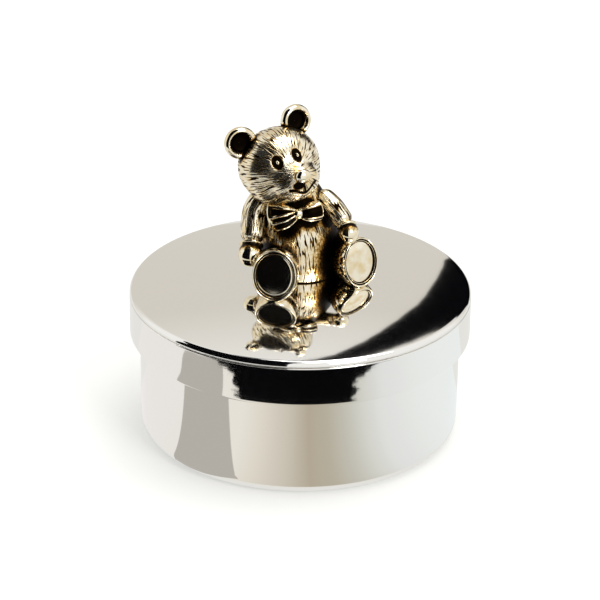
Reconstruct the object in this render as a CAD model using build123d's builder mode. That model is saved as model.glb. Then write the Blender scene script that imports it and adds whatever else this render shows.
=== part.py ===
from build123d import *
import os
from math import sqrt

# Baby tooth box: a round polished metal box whose domed lid lifts off, with a seated teddy bear
# on the lid. Millimetres, +Z up. The origin is the middle of the box's flat underside, and -Y is
# the side that the photograph looks at.

# Cup, drawn from one sheet
cup_radius = 23.6
cup_taper = 0.2
cup_wall = 1.0
cup_visible_height = 15.2
cup_bottom_round = 2.2
rim_round = 0.3

# Lid: a skirt ring with a domed top disc on it
lid_overlap = 4.5
lid_clearance = 0.2
skirt_wall = 1.2
skirt_edge_round = 0.4
seam_bevel = 0.15
top_sheet = 0.8
top_edge_round = 0.8
top_edge_depth = 0.8
dome_rise = 3.2
lining_clearance_share = 1.05

# Velvet linings
floor_pad_thickness = 1.6
wall_lining_thickness = 0.8
wall_lining_drop = 1.0
lid_lining_thickness = 1.5
lid_lining_gap = 0.1

# Screw and washer that hold the figure to the lid
screw_radius = 1.0
screw_hole_clearance = 0.15
screw_head_radius = 1.9
screw_head_height = 1.3
screw_depth_in_figure = 5.0
washer_radius = 3.0
washer_thickness = 0.5
washer_gap = 0.02

# Bear: sizes of its forms
figure_turn_angle = 21.0
seat_gap = 0.03
torso_radius = 5.8
torso_height = 13.6
seat_radius = 4.9
chest_radius = 4.2
head_radius = 5.7
neck_rise = 3.06
head_side_shift = 3.5
head_turn_angle = 6.7
head_lean_angle = -12.0
head_nod_angle = -12.4
ear_radius = 2.4
ear_thickness = 1.3
ear_edge_round = 0.5
ear_rim = 0.95
ear_dish_depth = 0.55
snout_length = 5.2
snout_radius = 2.4
snout_tip_radius = 1.9
nose_radius = 0.95
nose_sink = 0.55
eye_radius = 0.7
shoulder_radius = 2.0
arm_radius = 2.1
wrist_radius = 1.5
paw_radius = 1.65
paw_reach = 0.6
hip_radius = 2.9
thigh_radius = 3.3
ankle_radius = 2.8
foot_half_width = 3.25
foot_half_height = 3.6
foot_depth = 2.6
foot_lean_angle = 12.0
foot_gap = 0.25
sole_rim = 0.8
sole_depth = 0.4
bow_knot_radius = 0.95
left_lobe_length = 4.4
right_lobe_length = 3.5
left_lobe_droop_angle = 22.0
right_lobe_droop_angle = 0.0
bow_lobe_half_height = 1.75
bow_lobe_thickness = 1.3
bow_lobe_root_share = 0.8
bow_edge_round = 0.45

# Sizes that follow
skirt_inner_radius = cup_radius + lid_clearance
lid_radius = skirt_inner_radius + skirt_wall
cup_inner_radius = cup_radius - cup_wall
cup_inner_round = cup_bottom_round - cup_wall
cup_height = cup_visible_height + lid_overlap
lid_lining_radius = skirt_inner_radius - lid_lining_gap
lid_lining_top = cup_height + lid_lining_thickness
dome_corner_height = lid_lining_top + lining_clearance_share * top_sheet
seam_height = dome_corner_height - top_edge_depth
dome_top = dome_corner_height + dome_rise
dome_radius = (lid_radius ** 2 + dome_rise ** 2) / (2 * dome_rise)
dome_centre_height = dome_top - dome_radius
half_dome_rise = sqrt(dome_radius ** 2 - (lid_radius / 2) ** 2) - dome_radius


def dome_height(radius):
    """Height of the dome's outside at a distance from the axis."""
    return dome_centre_height + sqrt(dome_radius ** 2 - radius ** 2)


def turned(base, start, end, start_radius, middle_radius, end_radius):
    """Add to the open part a limb turned about the line from start to end, round at both ends.

    Start and end are the limb's tips in the base plane, and its side is one arc through the middle.
    """
    foot = base.from_local_coords(Vector(*start))
    tip = base.from_local_coords(Vector(*end))
    length = (tip - foot).length
    along = (tip - foot).normalized()
    across = min((base.y_dir, base.z_dir), key=lambda direction: abs(direction.dot(along)))
    outward = (across - along * across.dot(along)).normalized()
    with BuildSketch(Plane(origin=foot, x_dir=outward, z_dir=outward.cross(along))) as profile:
        with BuildLine():
            CenterArc((0, start_radius), start_radius, -90, 90)
            ThreePointArc(
                (start_radius, start_radius),
                (middle_radius, length / 2),
                (end_radius, length - end_radius),
            )
            CenterArc((0, length - end_radius), end_radius, 0, 90)
            Line((0, length), (0, 0))
        make_face()
    revolve(profile.sketch, axis=Axis(foot, along))


def write(part, node):
    """Label a finished piece and write its file."""
    part.label = node
    export_step(part, f"parts/{node}.step")


os.makedirs("parts", exist_ok=True)

# Cup: turned section with a rounded foot and a slightly tapered wall
with BuildPart() as box_cup:
    with BuildSketch(Plane.XZ) as cup_section:
        with BuildLine():
            Polyline(
                (0, 0),
                (cup_radius - cup_taper, 0),
                (cup_radius, cup_visible_height),
                (cup_radius, cup_height),
                (cup_inner_radius, cup_height),
                (cup_inner_radius, cup_wall),
                (0, cup_wall),
                close=True,
            )
        make_face()
    revolve(axis=Axis.Z)
    foot_edge = box_cup.edges().filter_by(GeomType.CIRCLE).group_by(Axis.Z)[0]
    fillet(foot_edge, cup_bottom_round)
    floor_edge = box_cup.edges().filter_by(GeomType.CIRCLE).filter_by(
        lambda edge: abs(edge.radius - cup_inner_radius) < rim_round and edge.center().Z < cup_height / 2
    )
    fillet(floor_edge, cup_inner_round)
    rim_edges = box_cup.edges().filter_by(GeomType.CIRCLE).group_by(Axis.Z)[-1]
    fillet(rim_edges, rim_round)
write(box_cup.part, "box_cup")

# Velvet pad on the cup's floor, inside the curve where the floor meets the wall
with BuildPart() as cup_floor_pad:
    with BuildSketch(Plane.XY.offset(cup_wall)):
        Circle(cup_inner_radius - cup_inner_round)
    extrude(amount=floor_pad_thickness)
    fillet(cup_floor_pad.edges().group_by(Axis.Z)[-1], floor_pad_thickness / 2)
write(cup_floor_pad.part, "cup_floor_pad")

# Velvet strip round the cup's wall, ending a little below the rim
with BuildPart() as cup_wall_lining:
    with BuildSketch(Plane.XY.offset(cup_wall + cup_inner_round)):
        Circle(cup_inner_radius)
        Circle(cup_inner_radius - wall_lining_thickness, mode=Mode.SUBTRACT)
    extrude(amount=cup_height - wall_lining_drop - cup_wall - cup_inner_round)
write(cup_wall_lining.part, "cup_wall_lining")

# Skirt ring of the lid, with a small bevel at the seam under the top disc
with BuildPart() as lid_ring:
    with BuildSketch(Plane.XY.offset(cup_visible_height)):
        Circle(lid_radius)
        Circle(skirt_inner_radius, mode=Mode.SUBTRACT)
    extrude(amount=seam_height - cup_visible_height)
    fillet(lid_ring.edges().group_by(Axis.Z)[0], skirt_edge_round)
    seam_edge = lid_ring.edges().filter_by(GeomType.CIRCLE).group_by(Axis.Z)[-1].sort_by(
        lambda edge: edge.radius
    )[-1]
    chamfer(seam_edge, seam_bevel)
write(lid_ring.part, "lid_ring")

# Domed top disc with a turned-down rounded edge and a clearance hole for the screw
with BuildPart() as lid_top:
    with BuildSketch(Plane.XZ) as top_section:
        with BuildLine():
            outside = ThreePointArc(
                (0, dome_top),
                (lid_radius / 2, dome_top + half_dome_rise),
                (lid_radius, dome_corner_height),
            )
            Polyline(
                outside @ 1,
                (lid_radius, seam_height),
                (lid_radius - top_sheet, seam_height),
                (lid_radius - top_sheet, dome_height(lid_radius - top_sheet) - top_sheet),
            )
            ThreePointArc(
                (lid_radius - top_sheet, dome_height(lid_radius - top_sheet) - top_sheet),
                (lid_radius / 2, dome_height(lid_radius / 2) - top_sheet),
                (0, dome_top - top_sheet),
            )
            Line((0, dome_top - top_sheet), (0, dome_top))
        make_face()
    revolve(axis=Axis.Z)
    corner_edges = lid_top.edges().filter_by(GeomType.CIRCLE)
    outer_corner = corner_edges.filter_by(
        lambda edge: abs(edge.radius - lid_radius) < seam_bevel and edge.center().Z > seam_height + seam_bevel
    )
    fillet(outer_corner, top_edge_round)
    lower_edge = lid_top.edges().filter_by(GeomType.CIRCLE).group_by(Axis.Z)[0].sort_by(
        lambda edge: edge.radius
    )[-1]
    chamfer(lower_edge, seam_bevel)
    with BuildSketch(Plane.XY.offset(dome_corner_height)):
        Circle(screw_radius + screw_hole_clearance)
    extrude(amount=dome_rise + top_sheet, mode=Mode.SUBTRACT)
write(lid_top.part, "lid_top")

# Flat velvet-covered disc that closes the lid's underside and hides the screw
with BuildPart() as lid_lining:
    with BuildSketch(Plane.XY.offset(cup_height)):
        Circle(lid_lining_radius)
    extrude(amount=lid_lining_thickness)
write(lid_lining.part, "lid_lining")

# Washer against the underside of the dome
washer_top = dome_height(washer_radius) - top_sheet - washer_gap
with BuildPart() as figure_washer:
    with BuildSketch(Plane.XY.offset(washer_top - washer_thickness)):
        Circle(washer_radius)
        Circle(screw_radius + screw_hole_clearance, mode=Mode.SUBTRACT)
    extrude(amount=washer_thickness)
write(figure_washer.part, "figure_washer")

# Screw through the washer and the lid into the figure
screw_top = dome_top + screw_depth_in_figure
screw_seat = washer_top - washer_thickness
with BuildPart() as figure_screw:
    with BuildSketch(Plane.XY.offset(screw_seat - screw_head_height)):
        Circle(screw_head_radius)
    extrude(amount=screw_head_height)
    fillet(figure_screw.edges().group_by(Axis.Z)[0], screw_head_height / 2)
    with BuildSketch(Plane.XY.offset(screw_seat)):
        Circle(screw_radius)
    extrude(amount=screw_top - screw_seat)
write(figure_screw.part, "figure_screw")

# Space taken by the lid, which the seated pieces are cut by
with BuildPart() as lid_space:
    with BuildSketch(Plane.XZ):
        with BuildLine():
            seat_arc = ThreePointArc(
                (0, dome_top + seat_gap),
                (lid_radius / 2, dome_top + half_dome_rise + seat_gap),
                (lid_radius, dome_corner_height + seat_gap),
            )
            Polyline(seat_arc @ 1, (lid_radius, 0), (0, 0), seat_arc @ 0)
        make_face()
    revolve(axis=Axis.Z)

# Places on the figure are shares of the torso's radius, across and forwards, and of its height upwards
figure_plane = Plane(Location((0, 0, dome_top), (0, 0, figure_turn_angle)))
belly_share = 0.35


def on_torso(across_share, forward_share, height_share):
    """Place in the figure's plane, worked out from the torso's sizes."""
    return (across_share * torso_radius, -forward_share * torso_radius, height_share * torso_height)


# Body: a barrel turned about the lid's axis, seated on the dome, with the screw's hole up its middle
seat_height = dome_height(seat_radius) + seat_gap
chest_height = dome_top + torso_height - chest_radius
with BuildPart() as figure_body:
    with BuildSketch(Plane.XZ):
        with BuildLine():
            ThreePointArc(
                (screw_radius, dome_height(screw_radius) + seat_gap),
                (seat_radius / 2, dome_height(seat_radius / 2) + seat_gap),
                (seat_radius, seat_height),
            )
            ThreePointArc(
                (seat_radius, seat_height),
                (torso_radius, dome_top + belly_share * torso_height),
                (chest_radius, chest_height),
            )
            CenterArc((0, chest_height), chest_radius, 0, 90)
            Polyline(
                (0, dome_top + torso_height),
                (0, screw_top),
                (screw_radius, screw_top),
                (screw_radius, dome_height(screw_radius) + seat_gap),
            )
        make_face()
    revolve(axis=Axis.Z)
write(figure_body.part, "figure_body")

# Head: its plane leans, turns and nods on the neck
head_plane = Plane(
    figure_plane.location
    * Location((-head_side_shift, 0, torso_height + neck_rise))
    * Location((0, 0, 0), (0, 0, head_turn_angle))
    * Location((0, 0, 0), (0, head_lean_angle, 0))
    * Location((0, 0, 0), (head_nod_angle, 0, 0))
)

# Ears: round discs with a dished front, one each side of the head's top
ear_shares = (0.8, -0.06, 0.86)
ears = []
for side in (-1, 1):
    ear_place = (
        side * ear_shares[0] * head_radius, -ear_shares[1] * head_radius, ear_shares[2] * head_radius
    )
    ear_plane = Plane(head_plane.location * Location(ear_place) * Location((0, 0, 0), (90, 0, 0)))
    with BuildPart() as ear:
        with BuildSketch(ear_plane):
            Circle(ear_radius)
        extrude(amount=ear_thickness / 2, both=True)
        fillet(ear.edges(), ear_edge_round)
        with BuildSketch(ear_plane.offset(ear_thickness / 2)):
            Circle(ear_radius - ear_rim)
        extrude(amount=-ear_dish_depth, mode=Mode.SUBTRACT)
    ears.append(ear.part)

# Head: a ball with the ears, a rounded snout, and beads for the nose and eyes
snout_root_share = 0.5
snout_drop_share = 0.25
nose_drop_share = 0.12
eye_shares = (0.26, 0.92, 0.29)
snout_root = -snout_root_share * head_radius
snout_tip = snout_root - snout_length
snout_height = -snout_drop_share * head_radius
with BuildPart() as figure_head:
    with Locations(head_plane.location):
        Sphere(head_radius)
    turned(
        head_plane, (0, snout_root, snout_height), (0, snout_tip, snout_height), snout_radius,
        snout_radius, snout_tip_radius,
    )
    with Locations(head_plane.location * Location((0, snout_tip + nose_sink, -nose_drop_share * head_radius))):
        Sphere(nose_radius)
    for side in (-1, 1):
        eye_place = (
            side * eye_shares[0] * head_radius, -eye_shares[1] * head_radius, eye_shares[2] * head_radius
        )
        with Locations(head_plane.location * Location(eye_place)):
            Sphere(eye_radius)
    for ear_part in ears:
        add(ear_part)
    add(figure_body.part, mode=Mode.SUBTRACT)
write(figure_head.part, "figure_head")

# Legs: a thigh that swells from the hip, and an oval foot whose sole is recessed inside a rim
leg_shares = {
    "figure_left_leg": {"hip": (-0.84, 0.12, 0.24), "foot": (-1.24, 1.4), "turn": -31.0},
    "figure_right_leg": {"hip": (0.74, 0.12, 0.24), "foot": (1.08, 1.38), "turn": 19.0},
}
legs = {}
for node, place in leg_shares.items():
    foot_across = place["foot"][0] * torso_radius
    foot_forward = place["foot"][1] * torso_radius
    reach = sqrt(foot_across ** 2 + foot_forward ** 2)
    foot_height = dome_height(reach) - dome_top + foot_gap + foot_half_height
    sole_plane = Plane(
        figure_plane.location
        * Location((foot_across, -foot_forward, foot_height))
        * Location((0, 0, 0), (0, 0, place["turn"]))
        * Location((0, 0, 0), (90 - foot_lean_angle, 0, 0))
    )
    with BuildPart() as leg:
        turned(
            figure_plane, on_torso(*place["hip"]), (foot_across, foot_depth / 2 - foot_forward, foot_height),
            hip_radius, thigh_radius, ankle_radius,
        )
        with BuildSketch(sole_plane):
            Ellipse(foot_half_width, foot_half_height)
        extrude(amount=-foot_depth)
        sole_edge = leg.edges().group_by(Axis(sole_plane.origin, sole_plane.z_dir))[-1]
        fillet(sole_edge, sole_rim / 2)
        with BuildSketch(sole_plane):
            Ellipse(foot_half_width - sole_rim, foot_half_height - sole_rim)
        extrude(amount=-sole_depth, mode=Mode.SUBTRACT)
        add(figure_body.part, mode=Mode.SUBTRACT)
        add(lid_space.part, mode=Mode.SUBTRACT)
    legs[node] = leg.part
    write(leg.part, node)

# Arms: from the shoulder to a round paw with a shallow pad, each resting against its leg
arm_shares = {
    "figure_left_arm": {"shoulder": (-0.7, -0.14, 0.8), "wrist": (-1.45, 0.46, 0.34)},
    "figure_right_arm": {"shoulder": (0.5, 0.12, 0.8), "wrist": (0.86, 1.16, 0.56)},
}
for node, place in arm_shares.items():
    shoulder = Vector(*on_torso(*place["shoulder"]))
    wrist = Vector(*on_torso(*place["wrist"]))
    along = (wrist - shoulder).normalized()
    with BuildPart() as arm:
        turned(
            figure_plane, shoulder - along * shoulder_radius, wrist + along * wrist_radius,
            shoulder_radius, arm_radius, wrist_radius,
        )
        with Locations(figure_plane.location * Location(wrist + along * paw_reach)):
            Sphere(paw_radius)
        add(figure_body.part, mode=Mode.SUBTRACT)
        add(figure_head.part, mode=Mode.SUBTRACT)
        for leg_part in legs.values():
            add(leg_part, mode=Mode.SUBTRACT)
    write(arm.part, node)

# Bow tie: two lobes that flare from a round knot, lying on the chest under the chin
knot_shares = (-0.33, 0.8, 0.76)
bow_turn_angle = -21.0
lobe_lengths = {-1: left_lobe_length, 1: right_lobe_length}
lobe_droops = {-1: left_lobe_droop_angle, 1: right_lobe_droop_angle}
bow_plane = Plane(
    figure_plane.location
    * Location(on_torso(*knot_shares))
    * Location((0, 0, 0), (0, 0, bow_turn_angle))
    * Location((0, 0, 0), (90, 0, 0))
)
with BuildPart() as figure_bow_tie:
    with BuildSketch(bow_plane):
        for side, lobe_length in lobe_lengths.items():
            root_half_height = bow_lobe_root_share * bow_knot_radius
            with Locations(Location((0, 0, 0), (0, 0, -side * lobe_droops[side]))):
                Polygon(
                    (0, root_half_height),
                    (side * lobe_length, bow_lobe_half_height),
                    (side * lobe_length, -bow_lobe_half_height),
                    (0, -root_half_height),
                    align=None,
                )
        fillet(vertices().sort_by(SortBy.DISTANCE)[-4:], bow_edge_round)
    extrude(amount=bow_lobe_thickness / 2, both=True)
    with BuildSketch(bow_plane):
        Circle(bow_knot_radius)
    extrude(amount=bow_lobe_thickness / 2 + bow_edge_round, both=True)
    add(figure_body.part, mode=Mode.SUBTRACT)
    add(figure_head.part, mode=Mode.SUBTRACT)
write(figure_bow_tie.part, "figure_bow_tie")
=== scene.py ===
from math import cos, pi, radians, sin, sqrt, tan

import bpy
import numpy as np
from mathutils import Matrix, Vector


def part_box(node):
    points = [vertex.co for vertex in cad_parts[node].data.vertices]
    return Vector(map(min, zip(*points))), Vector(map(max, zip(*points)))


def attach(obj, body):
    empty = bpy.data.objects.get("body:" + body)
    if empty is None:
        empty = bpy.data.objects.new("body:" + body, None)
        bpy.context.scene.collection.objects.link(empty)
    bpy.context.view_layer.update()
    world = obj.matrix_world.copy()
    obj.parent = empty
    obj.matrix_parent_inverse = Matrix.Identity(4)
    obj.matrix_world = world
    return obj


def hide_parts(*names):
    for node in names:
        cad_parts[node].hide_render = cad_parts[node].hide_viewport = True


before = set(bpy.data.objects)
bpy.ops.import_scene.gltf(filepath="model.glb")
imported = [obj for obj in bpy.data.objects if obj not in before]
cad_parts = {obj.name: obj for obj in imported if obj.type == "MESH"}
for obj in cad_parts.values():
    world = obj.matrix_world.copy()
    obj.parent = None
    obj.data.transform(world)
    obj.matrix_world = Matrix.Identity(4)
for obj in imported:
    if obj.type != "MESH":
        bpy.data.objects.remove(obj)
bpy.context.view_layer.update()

# Camera: stands in front of the box and looks down at it through a long lens, aimed at the middle
# of the lid's edge, and leans a little to one side as the photograph does.
MM = 0.001
picture_pixels = 600
focal_pixels = 3090
sensor_width = 36
camera_distance = 452.5 * MM
camera_rise = radians(25.7)
camera_lean = radians(0.76)
aim_height = 21.75 * MM
aim_pixel = (300.5, 287.9)

backward = np.array([0, -cos(camera_rise), sin(camera_rise)])
upward = np.array([0, sin(camera_rise), cos(camera_rise)])
sideways = np.array([1.0, 0, 0])
camera_place = np.array([0, 0, aim_height]) + camera_distance * backward
camera_axes = Matrix(np.column_stack([sideways, upward, backward]).tolist()).to_4x4()
lens = bpy.data.cameras.new("camera")
lens.sensor_width = sensor_width
lens.lens = sensor_width * focal_pixels / picture_pixels
lens.shift_x = (picture_pixels / 2 - aim_pixel[0]) / picture_pixels
lens.shift_y = (aim_pixel[1] - picture_pixels / 2) / picture_pixels
camera = bpy.data.objects.new("camera", lens)
camera.matrix_world = (
    Matrix.Translation(camera_place.tolist()) @ camera_axes @ Matrix.Rotation(camera_lean, 4, "Z")
)
bpy.context.collection.objects.link(camera)
bpy.context.scene.camera = camera


# Cup: drawn from one sheet of metal, with a rounded foot and a wall that widens a little towards
# the rim, then turned, polished and silver-plated. It stands on its flat underside.
def linear(code):
    """Linear colour of an sRGB hex value."""
    parts = np.array([int(code[i:i + 2], 16) for i in (0, 2, 4)]) / 255
    light = np.where(parts <= 0.04045, parts / 12.92, ((parts + 0.055) / 1.055) ** 2.4)
    return (*light.tolist(), 1.0)


def add_node(tree, kind, inputs={}, **settings):
    """Add a shader node, set its settings, and give each named or numbered input a value or a link.

    A node that is given as a value stands for its first output.
    """
    fresh = tree.nodes.new("ShaderNode" + kind)
    for name, value in settings.items():
        setattr(fresh, name, value)
    for name, value in inputs.items():
        if isinstance(value, bpy.types.Node):
            value = value.outputs[0]
        if isinstance(value, bpy.types.NodeSocket):
            tree.links.new(value, fresh.inputs[name])
        else:
            fresh.inputs[name].default_value = value
    return fresh


def new_material(name):
    """Empty node material, as (material, tree)."""
    material = bpy.data.materials.new(name)
    material.use_nodes = True
    material.node_tree.nodes.clear()
    return material, material.node_tree


def closed_surface(name, rings, hoop=False):
    """Closed mesh object of rings, an array of rows, columns and x, y, z.

    Each ring is joined to itself and to the next. A hoop's last ring joins its first, and otherwise
    the first and last rings close on a point at their middle.
    """
    rows, columns, _ = rings.shape
    index = np.arange(rows * columns).reshape(rows, columns)
    beside = np.roll(index, -1, axis=1)
    grid = np.stack([index, beside, np.roll(beside, -1, axis=0), np.roll(index, -1, axis=0)], -1)
    if hoop:
        quads, vertices, fans = grid.reshape(-1, 4), rings.reshape(-1, 3), np.zeros((0, 3), int)
    else:
        quads = grid[:-1].reshape(-1, 4)
        ends = np.stack([rings[0].mean(0), rings[-1].mean(0)])
        vertices = np.concatenate([rings.reshape(-1, 3), ends])
        first = np.full(columns, rows * columns)
        fans = np.concatenate([
            np.stack([first, beside[0], index[0]], -1),
            np.stack([first + 1, index[-1], beside[-1]], -1),
        ])
    corners = np.concatenate([quads.ravel(), fans.ravel()])
    starts = np.concatenate([np.arange(len(quads)) * 4, len(quads) * 4 + np.arange(len(fans)) * 3])
    mesh = bpy.data.meshes.new(name)
    mesh.vertices.add(len(vertices))
    mesh.vertices.foreach_set("co", vertices.ravel())
    mesh.loops.add(len(corners))
    mesh.loops.foreach_set("vertex_index", corners)
    mesh.polygons.add(len(starts))
    mesh.polygons.foreach_set("loop_start", starts)
    mesh.update(calc_edges=True)
    mesh.validate()
    mesh.shade_smooth()
    piece = bpy.data.objects.new(name, mesh)
    bpy.context.collection.objects.link(piece)
    return piece


def turned_outline(corners, steps=8, strip=0.05 * MM):
    """Radius and height along an outline through corners (radius, height, round).

    Each corner becomes an arc of its round, tangent to both runs, and each run gets a point a thin
    strip away from either end, so that it shades flat.
    """
    points = np.array([corner[:2] for corner in corners])
    line = [points[0]]
    for before, here, after, corner in zip(points[:-2], points[1:-1], points[2:], corners[1:-1]):
        back, ahead = before - here, after - here
        back, ahead = back / np.linalg.norm(back), ahead / np.linalg.norm(ahead)
        half = np.arccos(np.clip(back @ ahead, -1, 1)) / 2
        reach = corner[2] / tan(half)
        middle = here + (back + ahead) / np.linalg.norm(back + ahead) * corner[2] / sin(half)
        start, end = here + back * reach, here + ahead * reach
        turn = np.linspace(0, 1, steps + 1)[:, None]
        opening = pi - 2 * half
        fan = (np.sin((1 - turn) * opening) * (start - middle) + np.sin(turn * opening) * (end - middle))
        line += [start + back * strip, *(middle + fan / sin(opening)), end + ahead * strip]
    return np.array(line + [points[-1]])


def full_turn(steps):
    """Angles in equal steps round a full turn."""
    return np.arange(steps) * 2 * pi / steps


def turn_round(outline, columns=384):
    """Rings of an outline of radius and height carried round the Z axis."""
    angle = full_turn(columns)
    radius, height = outline[:, :1], outline[:, 1:]
    return np.stack(np.broadcast_arrays(radius * np.cos(angle), radius * np.sin(angle), height), -1)


def silver_plate(name, mark_spacing, mark_depth):
    """Silver plate over turned and polished metal: a near mirror with faint marks round it.

    The marks are noise over the distance from the axis and the height, stretched round the piece. Real
    polishing marks are a few microns apart, so these are drawn as coarse as they need to be to show.
    """
    marks_per_radian = 3.0
    material, tree = new_material(name)
    place = add_node(tree, "TexCoord").outputs["Object"]
    split = add_node(tree, "SeparateXYZ", {0: place})
    flat = add_node(tree, "CombineXYZ", {0: split.outputs[0], 1: split.outputs[1]})
    radius = add_node(tree, "VectorMath", {0: flat}, operation="LENGTH")
    angle = add_node(tree, "Math", {0: split.outputs[0], 1: split.outputs[1]}, operation="ARCTAN2")
    stretch = add_node(tree, "Math", {0: angle, 1: marks_per_radian * mark_spacing}, operation="MULTIPLY")
    lathe = add_node(tree, "CombineXYZ", {0: radius.outputs["Value"], 1: split.outputs[2], 2: stretch})
    marks = add_node(tree, "TexNoise", {"Vector": lathe, "Scale": 1 / mark_spacing, "Detail": 3.0})
    bump = add_node(tree, "Bump", {"Height": marks, "Distance": mark_depth, "Strength": 1.0})
    shader = add_node(tree, "BsdfPrincipled", {
        "Base Color": linear("F6F4F0"), "Metallic": 1.0, "Roughness": 0.05, "Normal": bump,
    })
    add_node(tree, "OutputMaterial", {0: shader})
    return material


cup_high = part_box("box_cup")[1]
cup_radius, cup_height = cup_high[0], cup_high[2]
cup_taper = 0.2 * MM
cup_wall = 1.0 * MM
foot_round = 2.2 * MM
rim_round = 0.3 * MM
axis_gap = 0.02 * MM
cup_outline = turned_outline([
    (axis_gap, 0, 0),
    (cup_radius - cup_taper, 0, foot_round),
    (cup_radius, cup_height, rim_round),
    (cup_radius - cup_wall, cup_height, rim_round),
    (cup_radius - cup_wall, cup_wall, foot_round - cup_wall),
    (axis_gap, cup_wall, 0),
])
cup = closed_surface("cup_shell", turn_round(cup_outline))
cup_plate = silver_plate("polished_silver_plate_cup", mark_spacing=0.35 * MM, mark_depth=0.0006 * MM)
cup.data.materials.append(cup_plate)
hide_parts("box_cup")
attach(cup, "box")


# Linings: a card disc and a card strip covered with short-pile velvet, pushed into the cup and
# glued. The velvet shows only when the lid is off.
def velvet(name, code):
    """Short cotton velvet: matt and dark, with a pale sheen at grazing angles and uneven pile.

    Fine noise stands for the pile, drawn coarser than its threads so that it shows, and broad noise
    mixes the two colours where the pile was brushed one way or the other.
    """
    material, tree = new_material(name)
    place = add_node(tree, "TexCoord").outputs["Object"]
    pile_spacing, pile_depth, brush_width = 0.25 * MM, 0.08 * MM, 5.0 * MM
    pile = add_node(tree, "TexNoise", {"Vector": place, "Scale": 1 / pile_spacing, "Detail": 2.0})
    brushed = add_node(tree, "TexNoise", {"Vector": place, "Scale": 1 / brush_width, "Detail": 1.0})
    shade = add_node(tree, "Mix", {
        "Factor": brushed, 6: linear(code[0]), 7: linear(code[1]),
    }, data_type="RGBA")
    bump = add_node(tree, "Bump", {"Height": pile, "Distance": pile_depth, "Strength": 0.6})
    shader = add_node(tree, "BsdfPrincipled", {
        "Base Color": shade.outputs[2], "Roughness": 0.95, "Sheen Weight": 0.6, "Sheen Roughness": 0.35,
        "Normal": bump,
    })
    add_node(tree, "OutputMaterial", {0: shader})
    return material


def turned_disc(name, low, high, lower_round, upper_round, columns=192):
    """Closed disc that fills a box from corner to corner, with rounded edges."""
    outline = turned_outline([
        (axis_gap, low[2], 0),
        (high[0], low[2], lower_round),
        (high[0], high[2], upper_round),
        (axis_gap, high[2], 0),
    ])
    return closed_surface(name, turn_round(outline, columns))


def turned_ring(name, outer, thickness, low, high, rounds, columns=192):
    """Closed upright ring between two heights. Its section's corners have four rounds, from the lower
    outer one by way of the top to the lower inner one."""
    middle, inner = outer - thickness / 2, outer - thickness
    corners = [(outer, low), (outer, high), (inner, high), (inner, low)]
    outline = turned_outline([
        (middle, low, 0),
        *((*corner, curve) for corner, curve in zip(corners, rounds)),
        (middle - closing_gap, low, 0),
    ])
    return closed_surface(name, turn_round(outline, columns), hoop=True)


midnight_velvet = velvet("midnight_blue_velvet", ("101838", "1B2650"))
pad_round, fold_round, card_round = 0.8 * MM, 0.3 * MM, 0.1 * MM
closing_gap = 0.1 * MM
pad_low, pad_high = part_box("cup_floor_pad")
floor_pad = turned_disc("velvet_floor_pad", pad_low, pad_high, card_round, pad_round)
strip_low, strip_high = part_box("cup_wall_lining")
strip_thickness = 0.8 * MM
wall_strip = turned_ring(
    "velvet_wall_strip", strip_high[0], strip_thickness, strip_low[2], strip_high[2],
    rounds=(card_round, fold_round, fold_round, card_round),
)
for lining, node in ((floor_pad, "cup_floor_pad"), (wall_strip, "cup_wall_lining")):
    lining.data.materials.append(midnight_velvet)
    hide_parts(node)
    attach(lining, "box")

# Lid: a domed disc with a turned-down edge, soldered on a skirt ring, with a fine seam line left
# between the two. Both are polished and silver-plated.
ring_low, ring_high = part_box("lid_ring")
top_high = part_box("lid_top")[1]
lid_radius, lid_bottom, seam_height, lid_apex = ring_high[0], ring_low[2], ring_high[2], top_high[2]
skirt_wall = 1.2 * MM
skirt_edge_round = 0.4 * MM
seam_bevel = 0.15 * MM
inner_bevel = 0.1 * MM
top_sheet = 0.8 * MM
top_edge_round = 0.8 * MM
top_edge_depth = 0.8 * MM
skirt = turned_ring(
    "lid_skirt_ring", lid_radius, skirt_wall, lid_bottom, seam_height,
    rounds=(skirt_edge_round, seam_bevel, inner_bevel, skirt_edge_round), columns=512,
)

corner_height = seam_height + top_edge_depth
dome_rise = lid_apex - corner_height
dome_radius = (lid_radius ** 2 + dome_rise ** 2) / (2 * dome_rise)


def dome_height(radius):
    """Height of the lid's outside at a distance from the axis: a cap of one large sphere."""
    return lid_apex - dome_radius + np.sqrt(dome_radius ** 2 - np.square(radius))


def domed_outline(dome_rows=60, edge_rows=17, strip=0.04 * MM):
    """Outline of the top disc: dome, rounded edge, short wall, and the same again inside it.

    The edge is an arc that touches the dome's sphere and the upright wall, and a thin strip is left
    on each side of a sharp turn, so that it shades flat.
    """
    centre_radius = lid_radius - top_edge_round
    reach = dome_radius - top_edge_round
    centre_height = lid_apex - dome_radius + sqrt(reach ** 2 - centre_radius ** 2)
    lean = np.arcsin(centre_radius / reach)
    inside = np.linspace(axis_gap, dome_radius * sin(lean) - 2 * strip, dome_rows)
    outer = np.stack([inside, dome_height(inside)], -1)
    turn = np.linspace(pi / 2 - lean, 0, edge_rows)
    edge = np.stack([
        centre_radius + top_edge_round * np.cos(turn), centre_height + top_edge_round * np.sin(turn)
    ], -1)
    wall = np.array([
        (lid_radius, centre_height - strip), (lid_radius, seam_height + seam_bevel + strip),
        (lid_radius, seam_height + seam_bevel), (lid_radius - seam_bevel, seam_height),
        (lid_radius - seam_bevel - strip, seam_height), (lid_radius - top_sheet + strip, seam_height),
        (lid_radius - top_sheet, seam_height + strip),
    ])
    inner_edge = np.stack([
        centre_radius + (top_edge_round - top_sheet) * np.cos(turn[::-1]),
        centre_height + (top_edge_round - top_sheet) * np.sin(turn[::-1]),
    ], -1)
    under = inside[::-1]
    inner = np.stack([under, dome_height(under) - top_sheet], -1)
    return np.concatenate([outer, edge, wall, inner_edge, inner])[::-1]


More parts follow.
